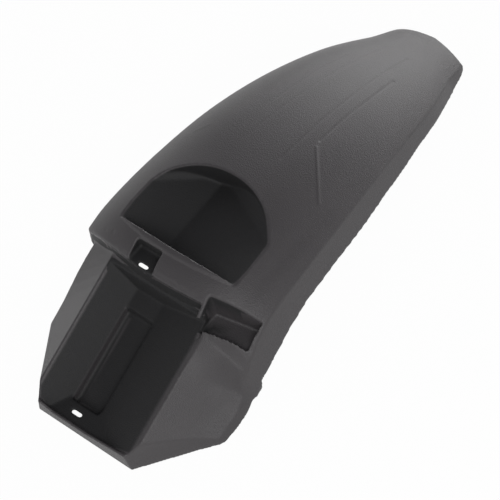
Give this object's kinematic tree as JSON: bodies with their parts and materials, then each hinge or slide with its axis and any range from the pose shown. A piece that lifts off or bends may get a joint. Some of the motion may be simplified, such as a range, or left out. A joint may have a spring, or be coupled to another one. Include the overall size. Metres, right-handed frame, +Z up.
{
  "type": "rear hugger mudguard",
  "caption": "One-piece moulded guard that arches over a rear tyre, with a stepped front deck, a channel, recesses and tie slots.",
  "frame": {"origin": "under the middle of the guard, on the surface that its rim rests on", "axes": "+Z up, +Y along the guard from its front edge to its tail, +X to its right as seen from the front edge"},
  "size_m": [0.2095, 0.484, 0.1075],
  "materials": {
    "grained_black": "black moulded plastic with a fine leather-like grain, smoother in its recesses"
  },
  "bodies": {
    "root": {"mudguard": "grained_black"}
  },
  "joints": []
}
